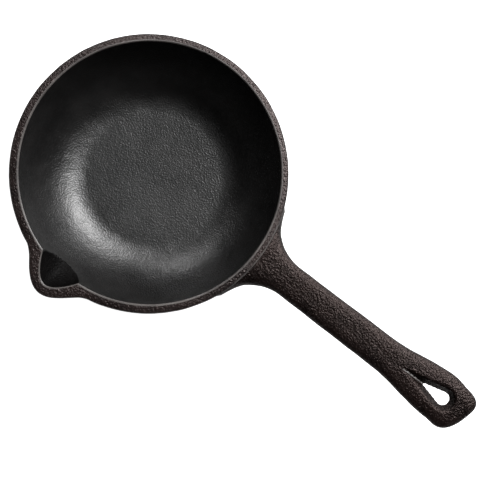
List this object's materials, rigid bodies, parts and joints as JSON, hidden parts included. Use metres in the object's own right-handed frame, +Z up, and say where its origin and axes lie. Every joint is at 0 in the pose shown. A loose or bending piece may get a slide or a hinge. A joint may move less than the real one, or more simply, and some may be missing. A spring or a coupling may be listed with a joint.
{
  "type": "cast iron skillet",
  "caption": "Small deep cast iron skillet with a round bowl, a side pouring spout and a long handle that ends in a teardrop hanging loop.",
  "frame": {"origin": "centre of the flat underside of the base, on the surface that the pan stands on", "axes": "+X along the handle from the bowl to the hanging loop, +Z up out of the bowl; the pouring spout points close to -Y"},
  "size_m": [0.2702, 0.1511, 0.0463],
  "materials": {
    "bare_iron_inside": "seasoned, fine as-cast grain, low sheen",
    "bare_iron_outside": "seasoned with a brown cast, coarse as-cast grain, low sheen"
  },
  "bodies": {
    "root": {"cooking_floor": "bare_iron_inside", "bowl_curve": "bare_iron_inside", "side_wall": "bare_iron_inside", "rim": "bare_iron_outside", "pouring_spout": "bare_iron_outside", "handle_neck": "bare_iron_outside", "handle_grip": "bare_iron_outside", "hanging_loop": "bare_iron_outside"}
  },
  "joints": []
}
